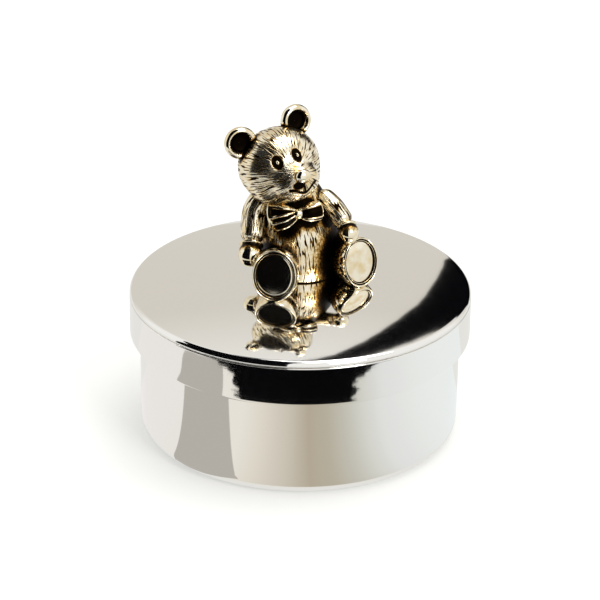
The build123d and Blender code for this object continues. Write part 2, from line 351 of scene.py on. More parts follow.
dome = closed_surface("lid_domed_disc", turn_round(domed_outline(), 512))
dome_plate = silver_plate("polished_silver_plate_lid", mark_spacing=0.5 * MM, mark_depth=0.0003 * MM)
skirt_plate = silver_plate("polished_silver_plate_skirt", mark_spacing=0.3 * MM, mark_depth=0.0012 * MM)
for piece, plate, node in ((dome, dome_plate, "lid_top"), (skirt, skirt_plate, "lid_ring")):
    piece.data.materials.append(plate)
    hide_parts(node)
    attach(piece, "lid")

# Lid lining: a flat card disc covered with the same velvet, pushed up into the skirt, where it
# hides the screw that holds the bear.
cover_low, cover_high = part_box("lid_lining")
cover = turned_disc("velvet_lid_disc", cover_low, cover_high, fold_round, card_round)
cover.data.materials.append(midnight_velvet)
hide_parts("lid_lining")
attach(cover, "lid")

# Screw and washer: steel with a bright zinc plate, faintly mottled where the crystals of the plate
# catch the light. They are hidden above the lid's lining.
zinc, zinc_tree = new_material("zinc_plated_steel")
spangle_width = 0.5 * MM
zinc_place = add_node(zinc_tree, "TexCoord").outputs["Object"]
spangle = add_node(
    zinc_tree, "TexNoise", {"Vector": zinc_place, "Scale": 1 / spangle_width, "Detail": 2.0}
)
zinc_shade = add_node(zinc_tree, "Mix", {
    "Factor": spangle, 6: linear("AEB1B4"), 7: linear("D2D5D8"),
}, data_type="RGBA")
zinc_dull = add_node(zinc_tree, "MapRange", {"Value": spangle, 3: 0.25, 4: 0.45})
zinc_shader = add_node(zinc_tree, "BsdfPrincipled", {
    "Base Color": zinc_shade.outputs[2], "Metallic": 1.0, "Roughness": zinc_dull,
})
add_node(zinc_tree, "OutputMaterial", {0: zinc_shader})
for node in ("figure_screw", "figure_washer"):
    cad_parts[node].data.materials.clear()
    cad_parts[node].data.materials.append(zinc)

# Bear: cast in white metal, engraved all over with short strokes for the fur, plated in gold, and
# antiqued: dark oxide is left in every groove and joint, and the high places are polished bare. Shade is
# painted as well beside the joints, widest where the legs and the belly meet. A screw holds it from
# below. Its measures are millimetres from the top of the dome, before it is turned.
figure_turn = 21
stroke_spacing = 0.36 * MM
stroke_length = 2.2 * MM
stroke_depth = 0.035 * MM
joint_shadow = 0.7 * MM
stroke_shade = 0.5


def turn_about(axis, degrees):
    """Rotation matrix about one axis."""
    return np.array(Matrix.Rotation(radians(degrees), 3, axis))


def from_figure(places):
    """Places in the bear's own frame, in millimetres from the top of the dome, to the shared frame."""
    return np.asarray(places) * MM @ turn_about("Z", figure_turn).T + (0, 0, lid_apex)


def smooth_through(knots, along):
    """Smooth curve at shares of the way along rows of knots: a cubic from each knot to the next, whose
    slope at a knot is half the step between its two neighbours."""
    knots = np.asarray(knots, float).reshape(len(knots), -1)
    padded = np.concatenate([2 * knots[:1] - knots[1:2], knots, 2 * knots[-1:] - knots[-2:-1]])
    place = np.clip(along, 0, 1) * (len(knots) - 1)
    cell = np.minimum(place.astype(int), len(knots) - 2)
    share = (place - cell)[:, None]
    a, b, c, d = (padded[cell + i] for i in range(4))
    return 0.5 * (
        2 * b + (c - a) * share + (2 * a - 5 * b + 4 * c - d) * share ** 2
        + (3 * b - a - 3 * c + d) * share ** 3
    )


def swelling_form(path, widths, depths, caps, rows, columns, side=(1, 0, 0), tip=0.012):
    """Rings carried along a smooth path, in figure millimetres: ovals whose half width and half depth
    follow the given knots and close in a quarter of an oval over the share of the path in caps."""
    along = (1 - np.cos(np.linspace(tip, 1 - tip, rows) * pi)) / 2
    middle = smooth_through(path, along)
    heading = np.gradient(middle, axis=0)
    heading /= np.linalg.norm(heading, axis=1, keepdims=True)
    across = np.array(side) - heading * (heading @ np.array(side))[:, None]
    across /= np.linalg.norm(across, axis=1, keepdims=True)
    outward = np.cross(heading, across)
    near, far = (np.clip(t / c, 0, 1) for t, c in ((along, caps[0]), (1 - along, caps[1])))
    closing = np.sqrt(1 - (1 - near) ** 2) * np.sqrt(1 - (1 - far) ** 2)
    wide = smooth_through(widths, along)[:, 0] * closing
    deep = smooth_through(depths, along)[:, 0] * closing
    angle = full_turn(columns)
    return (
        middle[:, None]
        + across[:, None] * (wide[:, None] * np.cos(angle))[..., None]
        + outward[:, None] * (deep[:, None] * np.sin(angle))[..., None]
    )


def outward_normals(rings):
    """Unit normals of a grid of rings, from the cross product of its two directions."""
    around = np.roll(rings, -1, axis=1) - np.roll(rings, 1, axis=1)
    normals = np.cross(around, np.gradient(rings, axis=0))
    return normals / np.maximum(np.linalg.norm(normals, axis=2, keepdims=True), 1e-12)


def along_and_around(rings):
    """Millimetres along a grid from row to row, and round it at its wide part, as two arrays."""
    wide_part = 70
    steps = np.linalg.norm(np.diff(rings, axis=0), axis=2).mean(1)
    along = np.concatenate([[0], np.cumsum(steps)])[:, None]
    rounds = np.linalg.norm(np.roll(rings, -1, axis=1) - rings, axis=2).sum(1)
    around = np.arange(rings.shape[1])[None] * np.percentile(rounds, wide_part) / rings.shape[1]
    return along, around


def fur_strokes(rings, seed, spacing=stroke_spacing, length=stroke_length, sway=0.35):
    """Depth from 0 to 1 of engraved strokes that run along the rows of a grid, in figure millimetres.

    The surface is a wall of cells, one stroke in each, moved, leaned and shortened at random. A
    stroke is deepest near its start, thins to its end, and is a rounded groove across. The measures
    below are shares of a cell.
    """
    wave, moved_along, moved_aside, leaned = 2.1, 0.45, 0.4, 0.5
    half_length, longer, blunt, half_width, fainter = 0.42, 0.2, 2.2, 0.19, 0.65
    along, around = along_and_around(rings)
    columns = rings.shape[1]
    count = max(8, int(around[0, 1] * columns / (spacing / MM)))
    down = along / (length / MM)
    aside = np.arange(columns)[None] * count / columns + sway * np.sin(down * wave + seed)
    rng = np.random.default_rng(seed)
    table = rng.random((int(down.max()) + 5, count, 4))
    depth = np.zeros(np.broadcast_shapes(down.shape, aside.shape))
    cell_down, cell_aside = np.floor(down).astype(int), np.floor(aside).astype(int)
    for step_down in (-1, 0, 1):
        for step_aside in (-1, 0, 1):
            row, column = cell_down + step_down, cell_aside + step_aside
            dice = table[np.clip(row + 1, 0, len(table) - 1), column % count]
            run = (down - row - 0.5 - moved_along * (dice[..., 0] - 0.5) - 0.5 * (column % 2)) / (
                half_length + longer * dice[..., 1]
            )
            across = (aside - column - 0.5 - moved_aside * (dice[..., 2] - 0.5)) - leaned * run * (
                dice[..., 3] - 0.5
            )
            taper = np.clip(1 - np.abs(run) ** blunt, 0, 1) * (0.75 - 0.25 * run)
            groove = np.exp(-(across / half_width) ** 2) * taper
            depth = np.maximum(depth, groove * (fainter + (1 - fainter) * dice[..., 1]))
    return np.clip(depth, 0, 1)


def nearness(rings, others, reach=joint_shadow):
    """Share from 0 to 1 by how near each point comes to the given ellipsoids (centre, radii, turn).

    It is 1 inside one, and falls off outside by the exponential of the gap over the reach.
    """
    near = np.zeros(rings.shape[:2])
    for centre, radii, turn in others:
        local = (rings - centre) @ turn / radii
        gap = (np.linalg.norm(local, axis=2) - 1) * np.min(radii)
        near = np.maximum(near, np.exp(-np.maximum(gap, 0) / (reach / MM)))
    return near


def fill_ramp(node, tones):
    """Give a colour ramp its stops, as a dictionary of place and sRGB hex value."""
    stops = node.color_ramp.elements
    for count, (stand, code) in enumerate(tones.items()):
        stop = stops[count] if count < 2 else stops.new(stand)
        stop.position, stop.color = stand, linear(code)


def antiqued_gold(name, roughness):
    """Gold plate, antiqued: pale polished gold on the high places and near-black oxide in the low.

    The piece's own dark attribute says where the oxide and the painted shade are, fine noise wears its
    edge, and the fur attribute carries the millimetres round and along the piece, and how much fur is cut
    there, for the finest strokes: noise drawn out along the fur, whose low places are grooves of dark.
    The oxide and the painted shade are duller than the gold.
    """
    material, tree = new_material(name)
    wear_grain, tone_width = 0.3 * MM, 1.6 * MM
    hair_spacing, hair_length, hair_depth = 0.26, 2.0, 0.012 * MM
    hair_from, hair_full, wear_share, tone_share = 0.46, 0.38, 0.35, 0.5
    place = add_node(tree, "TexCoord").outputs["Object"]
    dark = add_node(tree, "Attribute", attribute_name="dark").outputs["Fac"]
    fur = add_node(tree, "Attribute", attribute_name="fur").outputs["Vector"]
    split = add_node(tree, "SeparateXYZ", {0: fur})
    drawn = add_node(tree, "Mapping", {"Vector": fur, "Scale": (1 / hair_spacing, 1 / hair_length, 0.0)})
    hairs = add_node(tree, "TexNoise", {"Vector": drawn, "Scale": 1.0, "Detail": 1.0})
    groove = add_node(tree, "MapRange", {"Value": hairs, 1: hair_from, 2: hair_full})
    cut_in = add_node(tree, "Math", {0: groove, 1: split.outputs[2]}, operation="MULTIPLY")
    wear = add_node(tree, "TexNoise", {"Vector": place, "Scale": 1 / wear_grain, "Detail": 3.0})
    tone = add_node(tree, "TexNoise", {"Vector": place, "Scale": 1 / tone_width, "Detail": 2.0})
    worn = add_node(tree, "Math", {0: wear, 1: wear_share, 2: dark}, operation="MULTIPLY_ADD")
    hidden = add_node(tree, "MapRange", {"Value": worn, 1: 0.4, 2: 0.75})
    # Oxide and painted shade together, from the dark attribute and the finest grooves.
    oxide_and_shade = add_node(tree, "Math", {0: hidden, 1: cut_in}, operation="MAXIMUM")
    patchy = add_node(tree, "Math", {0: tone, 1: tone_share, 2: oxide_and_shade}, operation="MULTIPLY_ADD")
    level = add_node(tree, "Math", {0: patchy, 1: 0.2}, operation="SUBTRACT")
    colour = add_node(tree, "ValToRGB", {0: level})
    fill_ramp(colour, {0.0: "FBF3DF", 0.18: "EAD3A0", 0.42: "A97F3E", 0.7: "3A2610", 1.0: "0D0804"})
    dull = add_node(tree, "MapRange", {"Value": oxide_and_shade, 3: roughness, 4: 0.5})
    bump = add_node(tree, "Bump", {"Height": cut_in, "Distance": hair_depth, "Strength": 1.0})
    bump.invert = True
    shader = add_node(tree, "BsdfPrincipled", {
        "Base Color": colour, "Metallic": 1.0, "Roughness": dull, "Normal": bump,
    })
    add_node(tree, "OutputMaterial", {0: shader})
    return material


gold_fur = antiqued_gold("antiqued_gold_engraved", roughness=0.19)
gold_smooth = antiqued_gold("antiqued_gold_polished", roughness=0.07)


def bear_piece(name, rings, dark, material, furred=0.0, hoop=False):
    """Closed bear surface from rings in figure millimetres, with its oxide and painted shade, and its fur,
    per point.
    """
    piece = closed_surface(name, from_figure(rings), hoop)
    values = np.zeros(len(piece.data.vertices), np.float32)
    values[: dark.size] = dark.ravel()
    piece.data.attributes.new("dark", "FLOAT", "POINT").data.foreach_set("value", values)
    along, around = along_and_around(rings)
    fur = np.zeros((len(values), 3), np.float32)
    grid = np.stack(np.broadcast_arrays(around, along, furred), -1)
    fur[: dark.size] = grid.reshape(-1, 3)
    piece.data.attributes.new("fur", "FLOAT_VECTOR", "POINT").data.foreach_set("vector", fur.ravel())
    piece.data.materials.append(material)
    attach(piece, "lid")
    return piece


def engraved(rings, depth):
    """The grid sunk along its normals by a depth share of the stroke depth."""
    return rings - outward_normals(rings) * (depth * stroke_depth / MM)[..., None]


# Bear's body: a barrel of the same cast metal that leans a little, narrows to the neck, and is cut off
# flat where it stands on the lid. Oxide and painted shade darken it beside the limbs and the bow tie and
# along the lid, and a wider painted shade lies on its side by the right thigh.
head_centre = np.array([-3.5, 0.3, 16.7])
head_turn = turn_about("Z", 6.7) @ turn_about("Y", -12.1) @ turn_about("X", -12.4)
head_radii = (6.0, 5.4, 5.35)
head_form = (head_centre, head_radii, head_turn)
elbows = {"left": (-6.4, 1.5, 9.0), "right": (3.4, -3.7, 10.6)}
arm_forms = [
    (elbows["left"], (2.0, 2.0, 4.0), turn_about("Y", 14)),
    (elbows["right"], (1.9, 3.4, 2.0), turn_about("X", 30)),
]
thigh_forms = [
    ((-6.6, -4.4, 2.6), (2.5, 5.0, 2.6), turn_about("Z", -20)),
    ((5.2, -4.0, 3.1), (3.0, 5.0, 3.1), turn_about("Z", 14)),
]
bow_forms = [
    ((-4.5, -4.0, 10.2), (2.3, 1.5, 2.5), turn_about("Z", -21)),
    ((-0.6, -4.9, 10.9), (2.0, 1.4, 1.8), turn_about("Z", -21)),
]
fine_spacing, fine_shade = 0.3 * MM, 0.42
seat_shade, seat_line = 0.6, 0.12
body_rings = swelling_form(
    path=[(0, -0.2, -0.8), (0, -0.2, 3), (-0.3, 0, 7), (-1.0, 0, 11), (-1.6, 0, 14)],
    widths=[5.3, 5.8, 5.5, 4.3, 3.0], depths=[5.2, 5.7, 5.3, 4.1, 3.0], caps=(0.02, 0.16),
    rows=190, columns=480,
)
body_strokes = fur_strokes(body_rings, seed=3, spacing=fine_spacing, length=2.5 * MM)
body_dark = np.maximum.reduce([
    fine_shade * body_strokes,
    nearness(body_rings, [head_form] + arm_forms + thigh_forms + bow_forms),
    # Painted shade: a wider dark on the side of the body that faces the right thigh.
    nearness(body_rings, thigh_forms[1:], reach=2.2 * MM),
    seat_shade * np.exp(-np.maximum(body_rings[..., 2], 0) / seat_line),
])
body = bear_piece("bear_body", engraved(body_rings, body_strokes), body_dark, gold_fur, furred=1.0)
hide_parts("figure_body")

# Bear's head: skull, full cheeks and a broad muzzle, cast as one blended form and tipped forward to one
# side. Its fur is engraved outwards from the nose, round a dark oval socket for each eye, a deep mouth
# line and a raised nose, and the nose and eyes are polished.
def front_rays(rows, columns, pole_gap=0.006):
    """Unit directions on a grid from the -Y pole, row by row, to the +Y pole."""
    fall = np.linspace(pole_gap, 1 - pole_gap, rows)[:, None] * pi
    angle = full_turn(columns)
    reach = np.sin(fall)
    return np.stack(np.broadcast_arrays(reach * np.cos(angle), -np.cos(fall), -reach * np.sin(angle)), -1)


def blended_ball(forms, softness, rows, columns, nearest=1.0, farthest=14.0, halvings=26):
    """Rings of the smooth union of ellipsoids (centre, radii), met by rays from the origin.

    Each ellipsoid's distance is estimated from its scaled radius, the distances are joined by a
    smooth minimum, and the surface is found on every ray by halving.
    """
    rays = front_rays(rows, columns)
    low, high = np.full(rays.shape[:2], nearest), np.full(rays.shape[:2], farthest)
    for _ in range(halvings):
        reach = (low + high) / 2
        total = np.zeros_like(reach)
        for centre, radii in forms:
            local = rays * reach[..., None] - centre
            scaled = np.linalg.norm(local / radii, axis=2)
            steep = np.linalg.norm(local / np.square(radii), axis=2)
            total += np.exp(-scaled * (scaled - 1) / np.maximum(steep, 1e-9) / softness)
        inside = total > 1
        low, high = np.where(inside, reach, low), np.where(inside, high, reach)
    return rays * low[..., None]


def oval_ball(centre, radii, turn, rows, columns):
    """Rings of an ellipsoid about its centre, with its poles on Y before it is turned."""
    return (front_rays(rows, columns) * radii) @ turn.T + centre


skull = ((0, 0, 0), head_radii)
cheeks = ((0, -1.0, -2.4), (5.1, 4.2, 3.2))
muzzle = ((0.15, -4.1, -1.9), (3.5, 3.35, 2.9))
head_local = blended_ball([skull, cheeks, muzzle], softness=0.3, rows=250, columns=390)
head_strokes = fur_strokes(head_local, seed=11, spacing=fine_spacing, length=2.9 * MM, sway=0.2)

eye_places = [(-1.9, -4.85, 1.75), (1.2, -5.0, 1.75)]
socket_radii, socket_depth = (0.78, 1.6, 1.05), 3.0
socket = np.zeros(head_local.shape[:2])
for eye in eye_places:
    away = np.linalg.norm((head_local - eye) / socket_radii, axis=2)
    socket = np.maximum(socket, np.exp(-away ** 6))

face_middle, muzzle_start, muzzle_blend = (0.1, 0, 0), -5.6, 6
across, forward, upward_place = np.moveaxis(head_local - face_middle, -1, 0)
on_muzzle = 1 / (1 + np.exp((forward - muzzle_start) * muzzle_blend))
lip_level, lip_curl, lip_wave, lip_width, lip_reach, mouth_depth = -2.75, 0.45, 1.6, 0.24, 2.2, 3.5
lip_height = lip_level - lip_curl * np.cos(across * lip_wave)
lips = np.exp(-((upward_place - lip_height) / lip_width) ** 2) * (np.abs(across) < lip_reach) * on_muzzle
parting_width, parting_top, parting_bottom = 0.18, -1.2, -3.1
parting = np.exp(-(across / parting_width) ** 2) * on_muzzle * (
    (upward_place < parting_top) * (upward_place > parting_bottom)
)
wedge_place, wedge_size = (-0.75, -1.85), (0.85, 0.6)
wedge = np.linalg.norm(np.stack([
    (across - wedge_place[0]) / wedge_size[0], (upward_place - wedge_place[1]) / wedge_size[1]
]), axis=0)
mouth = np.maximum.reduce([lips, parting, np.exp(-wedge ** 4) * on_muzzle])

nose_place = np.array([0.3, -7.45, -0.7])
bridge_reach, bridge_bottom, nose_shadow_radii = 1.3, -0.9, (1.25, 1.3, 1.15)
bridge = np.clip(1 - np.abs(across) / bridge_reach, 0, 1) * (upward_place > bridge_bottom) * on_muzzle
# Painted shade round the nose.
nose_shadow = np.exp(-np.linalg.norm((head_local - nose_place) / nose_shadow_radii, axis=2) ** 4)
bare = np.clip(1 - socket - mouth - bridge - nose_shadow, 0, 1)
head_strokes = head_strokes * bare

ear_places = {"left": (-4.5, 0.35, 4.9), "right": (4.55, 0.35, 4.9)}
ear_forms = [(place, (2.3, 0.9, 2.3), np.eye(3)) for place in ear_places.values()]
chest_form = ((-1.2, 0, 9.5), (4.4, 4.2, 3.4), np.eye(3))
head_carving = engraved(head_local, head_strokes + socket_depth * socket + mouth_depth * mouth)
head_rings = head_carving @ head_turn.T + head_centre
head_dark = np.maximum.reduce([
    fine_shade * head_strokes, 0.8 * nearness(head_local, ear_forms) ** 2, socket, mouth,
    0.8 * nose_shadow, 0.3 * np.clip(1.5 * bridge, 0, 1), nearness(head_rings, [chest_form]),
])
head = bear_piece("bear_head", head_rings, head_dark, gold_fur, furred=bare)
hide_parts("figure_head")
eye_radii, eye_shade = (0.24, 0.42, 0.34), 0.05
bead_shapes = {
    "nose": (nose_place, (1.12, 0.8, 0.98), 0.0),
    "eye_left": (eye_places[0], eye_radii, eye_shade),
    "eye_right": (eye_places[1], eye_radii, eye_shade),
}
for name, (place, radii, shade) in bead_shapes.items():
    bead = oval_ball(place, radii, np.eye(3), rows=32, columns=64) @ head_turn.T + head_centre
    bear_piece(f"bear_{name}", bead, np.full(bead.shape[:2], shade), gold_smooth)


# Ears: round dishes with a thick rolled rim, cast with the head. Short strokes tick the inside of the
# rim and the back, and the hollow keeps its dark oxide.
def dish(outline, centre, turn, half_width, half_height, columns):
    """Rings of an outline of radius share and forward place, carried round an oval that faces -Y."""
    share, forward = (np.asarray(outline)[:, i:i + 1] for i in (0, 1))
    angle = full_turn(columns)
    local = np.stack(np.broadcast_arrays(
        half_width * share * np.cos(angle), forward, half_height * share * np.sin(angle)
    ), -1)
    return local @ turn.T + centre


ear_knots = [
    (0.01, 0.5), (0.3, 0.48), (0.5, 0.3), (0.6, -0.2), (0.76, -0.62), (0.93, -0.4), (1.0, 0.1),
    (0.92, 0.6), (0.55, 0.95), (0.01, 1.05),
]
ear_outline = smooth_through(ear_knots, np.linspace(0, 1, 80))
ear_tilts = {"left": turn_about("Z", -8), "right": turn_about("Z", 6)}
hollow_share, hollow_edge, tick_share, tick_band, back_place = 0.58, 40, 0.68, 0.08, 0.62
share, forward = ear_outline[:, :1], ear_outline[:, 1:]
inner = forward < back_place
hollow = 1 / (1 + np.exp((share - hollow_share) * hollow_edge)) * inner
rim_inside = np.exp(-((share - tick_share) / tick_band) ** 2) * inner
for side, place in ear_places.items():
    ear_local = dish(ear_outline, place, ear_tilts[side], half_width=2.4, half_height=2.35, columns=160)
    ticks = fur_strokes(ear_local, seed=21, spacing=0.45 * MM, length=0.9 * MM, sway=0)
    ear_strokes = ticks * np.maximum(rim_inside, 1 - inner)
    head_near = nearness(ear_local, [((0, 0, 0), head_radii, np.eye(3))])
    ear_dark = np.maximum(np.maximum(hollow * 0.95, ear_strokes), 0.8 * head_near ** 2)
    ear_rings = engraved(ear_local, ear_strokes) @ head_turn.T + head_centre
    bear_piece(f"bear_ear_{side}", ear_rings, ear_dark, gold_smooth)

# Legs: each a furred thigh, cast with the body, that lies on the lid and swells from the hip to a flat
# oval foot, whose polished sole pad lies inside a fine ridge and a raised rim.
legs = {
    "left": {
        "sole": (-7.2, -8.1, 3.15), "turn": -31.0, "hip": (-5.2, -0.8, 2.5), "size": (3.3, 3.85),
        "widths": [2.3, 2.4, 2.5], "depths": [2.3, 2.5, 2.9],
    },
    "right": {
        "sole": (6.3, -8.0, 3.25), "turn": 19.0, "hip": (4.3, -0.8, 3.1), "size": (3.2, 3.75),
        "widths": [2.7, 2.85, 2.7], "depths": [2.8, 3.0, 3.1],
    },
}
foot_lean, heel_offset = -12, (0, 1.8, -0.2)
sole_knots = [
    (0.01, 0.3), (0.4, 0.32), (0.72, 0.4), (0.8, 0.42), (0.845, 0.18), (0.88, 0.42), (0.915, 0.12),
    (0.965, 0.08), (1.0, 0.6), (1.0, 1.4), (0.95, 2.4), (0.8, 3.2), (0.45, 3.7), (0.01, 3.8),
]
belly_form = ((0, 0, 4.5), (5.5, 5.5, 8.0), np.eye(3))
ridge_grooves, groove_shade, rim_place = ((0.81, 0.025), (0.893, 0.02)), 0.9, 0.8
fur_start, fur_blend = 1.0, 0.4
belly_shade, lid_gap, lid_shade, lid_line = 0.85, 0.08, 0.8, 0.3
sole_outline = smooth_through(sole_knots, np.linspace(0, 1, 150))
share, forward = sole_outline[:, :1], sole_outline[:, 1:]
groove = sum(np.exp(-((share - middle) / width) ** 2) for middle, width in ridge_grooves)
furred = np.clip((forward - fur_start) / fur_blend, 0, 1)
for side, leg in legs.items():
    facing = turn_about("Z", leg["turn"]) @ turn_about("X", foot_lean)
    foot_rings = dish(sole_outline, leg["sole"], facing, *leg["size"], columns=240)
    foot_strokes = fur_strokes(foot_rings, seed=31) * furred
    # Painted shade on the furred foot where it comes near the belly.
    foot_near = furred * belly_shade * nearness(foot_rings, [belly_form], reach=2.2 * MM)
    foot_dark = np.maximum(
        groove * (forward < rim_place) * groove_shade, np.maximum(stroke_shade * foot_strokes, foot_near)
    )
    bear_piece(f"bear_foot_{side}", engraved(foot_rings, foot_strokes), foot_dark, gold_smooth, furred)
    hip, heel = leg["hip"], facing @ heel_offset + leg["sole"]
    thigh_rings = swelling_form(
        path=[hip, 0.5 * (hip + heel) + (0, 0, 0.1), heel], widths=leg["widths"], depths=leg["depths"],
        caps=(0.3, 0.12), rows=110, columns=300,
    )
    axis_distance = np.linalg.norm(thigh_rings[..., :2], axis=2) * MM
    clearance = dome_height(axis_distance) / MM - lid_apex / MM + lid_gap
    thigh_rings[..., 2] = np.maximum(thigh_rings[..., 2], clearance)
    thigh_strokes = fur_strokes(thigh_rings, seed=41)
    thigh_dark = np.maximum.reduce([
        stroke_shade * thigh_strokes,
        0.8 * nearness(thigh_rings, arm_forms),
        # Painted shade on the inner side of the thigh, by the belly.
        belly_shade * nearness(thigh_rings, [belly_form], reach=2.6 * MM),
        lid_shade * np.exp(-np.maximum(thigh_rings[..., 2] - clearance, 0) / lid_line),
    ])
    thigh_carving = engraved(thigh_rings, thigh_strokes)
    thigh = bear_piece(f"bear_leg_{side}", thigh_carving, thigh_dark, gold_fur, furred=1.0)
    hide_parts(f"figure_{side}_leg")


# Arms: furred, cast with the body and bent a little at the elbow, each ending in a rolled cuff and a
# smooth round mitt. One hangs at the side and the other reaches forward above its foot.
def turned_towards(direction):
    """Rotation that carries the -Y pole to a direction."""
    forward = -direction / np.linalg.norm(direction)
    side_way = np.cross(forward, (0, 0, 1))
    side_way /= np.linalg.norm(side_way)
    return np.column_stack([side_way, forward, np.cross(side_way, forward)])


arms = {
    "left": {
        "shoulder": (-4.6, 1.9, 11.6), "wrist": (-7.9, -0.7, 5.1), "thick": [1.9, 2.05, 1.65],
        "mitt": (-8.5, -1.8, 4.1), "mitt_radii": (1.75, 1.9, 1.65), "cuff_radii": (1.75, 0.55, 1.7),
    },
    "right": {
        "shoulder": (1.9, -1.1, 11.7), "wrist": (4.5, -6.3, 8.7), "thick": [1.8, 1.6, 1.45],
        "mitt": (4.5, -7.2, 7.9), "mitt_radii": (1.45, 1.7, 1.55), "cuff_radii": (1.45, 0.5, 1.45),
    },
}
mitt_shade, wrist_shade, cuff_shade = 0.12, 0.75, 0.05
for side, arm in arms.items():
    arm_rings = swelling_form(
        path=[arm["shoulder"], elbows[side], arm["wrist"]], widths=arm["thick"], depths=arm["thick"],
        caps=(0.28, 0.14), rows=110, columns=240,
    )
    arm_strokes = fur_strokes(arm_rings, seed=51)
    arm_dark = np.maximum(stroke_shade * arm_strokes, 0.8 * nearness(arm_rings, [head_form]))
    arm_carving = engraved(arm_rings, arm_strokes)
    arm_piece = bear_piece(f"bear_arm_{side}", arm_carving, arm_dark, gold_fur, furred=1.0)
    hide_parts(f"figure_{side}_arm")
    wrist = np.array(arm["wrist"])
    reach = np.array(arm["mitt"]) - wrist
    facing = turned_towards(reach)
    mitt = oval_ball(arm["mitt"], arm["mitt_radii"], facing, rows=60, columns=110)
    cuff = oval_ball(wrist + 0.1 * reach, arm["cuff_radii"], facing, rows=40, columns=120)
    mitt_dark = mitt_shade + wrist_shade * nearness(mitt, [(wrist, arm["cuff_radii"], facing)])
    bear_piece(f"bear_paw_{side}", mitt, mitt_dark, gold_smooth)
    bear_piece(f"bear_cuff_{side}", cuff, np.full(cuff.shape[:2], cuff_shade), gold_smooth)

# Bow tie and neck ribbon: polished, and cast with the body. Two puffed lobes spread from a small round
# knot on a narrow ribbon, and oxide fills the sunk places of each lobe between its folds.
bow_knot = np.array([-2.4, -4.75, 10.95])
lobes = {
    "left": {
        "path": [(0, 0, 0), (-1.9, -0.1, -0.5), (-4.1, 0.7, -1.2)], "half": [0.8, 1.9, 2.3],
        "front": -1, "edge": 0.74, "sag": -0.8, "folds": (0.0, 0.5),
    },
    "right": {
        "path": [(0, 0, 0), (1.6, 0.1, 0.1), (3.5, 0.9, 0.2)], "half": [0.7, 1.3, 1.5],
        "front": 1, "edge": 0.88, "sag": 0.2, "folds": (-0.45,),
    },
}
lobe_depths, sunk_depth, sunk_shade, lobe_shade = [0.8, 1.5, 1.35], 8, 0.9, 0.1
fold_width, sag_start, front_blend, knot_edge, hem = 0.13, 0.3, 0.35, 0.12, 0.86
to_figure = turn_about("Z", -figure_turn)
for side, lobe in lobes.items():
    lobe_rings = swelling_form(
        path=np.array(lobe["path"]) @ to_figure.T + bow_knot, widths=lobe["half"], depths=lobe_depths,
        caps=(0.1, 0.14), rows=90, columns=200, side=(0, 0, 1),
    )
    spread = np.linspace(0, 1, lobe_rings.shape[0])[:, None]
    around = full_turn(lobe_rings.shape[1])
    sag = lobe["sag"] * (spread - sag_start)
    ridges = sum(np.exp(-((np.cos(around) - fold - sag) / fold_width) ** 2) for fold in lobe["folds"])
    towards_front = np.clip(lobe["front"] * np.sin(around) / front_blend, 0, 1)
    from_knot = np.clip((spread - knot_edge) / 0.12, 0, 1)
    from_edge = np.clip((lobe["edge"] - spread) / 0.1, 0, 1)
    from_hems = np.clip((hem - np.abs(np.cos(around))) / 0.12, 0, 1)
    sunk = towards_front * (from_knot * from_edge) * from_hems * (1 - np.clip(ridges, 0, 1))
    lobe_dark = np.maximum(sunk * sunk_shade, lobe_shade + 0.6 * nearness(lobe_rings, [head_form]))
    lobe_carving = engraved(lobe_rings, sunk * sunk_depth)
    lobe_piece = bear_piece(f"bear_bow_{side}", lobe_carving, lobe_dark, gold_smooth)
    if side == "left":
        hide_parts("figure_bow_tie")
knot = oval_ball(bow_knot + (0, -0.25, 0), (0.95, 0.85, 0.8), np.eye(3), rows=40, columns=80)
bear_piece("bear_bow_knot", knot, np.full(knot.shape[:2], 0.15), gold_smooth)

ribbon_radius, ribbon_half_thickness, ribbon_half_height, ribbon_shade = 4.1, 0.35, 0.6, 0.32
ribbon_middle = (-1.5, -0.2, 11.2)
ribbon_angle, section_angle = full_turn(240), full_turn(24)
ribbon_path = np.stack([
    ribbon_middle[0] + ribbon_radius * np.cos(ribbon_angle),
    ribbon_middle[1] + ribbon_radius * np.sin(ribbon_angle),
    ribbon_middle[2] + 0.5 * np.sin(ribbon_angle) - 0.2 * np.cos(ribbon_angle),
], -1)
ribbon_out = np.stack([np.cos(ribbon_angle), np.sin(ribbon_angle), 0 * ribbon_angle], -1)
ribbon_rings = (
    ribbon_path[:, None]
    + ribbon_out[:, None] * (ribbon_half_thickness * np.cos(section_angle))[None, :, None]
    - np.array([0, 0, 1]) * (ribbon_half_height * np.sin(section_angle))[None, :, None]
)
ribbon_dark = np.full(ribbon_rings.shape[:2], ribbon_shade)
bear_piece("bear_neck_ribbon", ribbon_rings, ribbon_dark, gold_smooth, hoop=True)

# Studio: a sweep of white paper under and around the box. It gives off a little light of its own, so
# that the picture and the polished metal both see it as an even white. Black cards stand round it, a
# grey card paints the box's shadow and a glowing ring paints the floor's reflection; only the metal sees
# them.
dead_black = "050507"
paper_glow, paper_lift, floor_half = 0.95, 0.45, 3.0


def sheet(name, points, material):
    """Mesh through rows of points, as a piece of the stage."""
    count, width, _ = points.shape
    index = np.arange(count * width).reshape(count, width)
    quads = np.stack([index[:-1, :-1], index[:-1, 1:], index[1:, 1:], index[1:, :-1]], -1).reshape(-1, 4)
    mesh = bpy.data.meshes.new(name)
    mesh.from_pydata(points.reshape(-1, 3).tolist(), [], quads.tolist())
    mesh.materials.append(material)
    spread = bpy.data.objects.new(name, mesh)
    bpy.context.collection.objects.link(spread)
    return spread


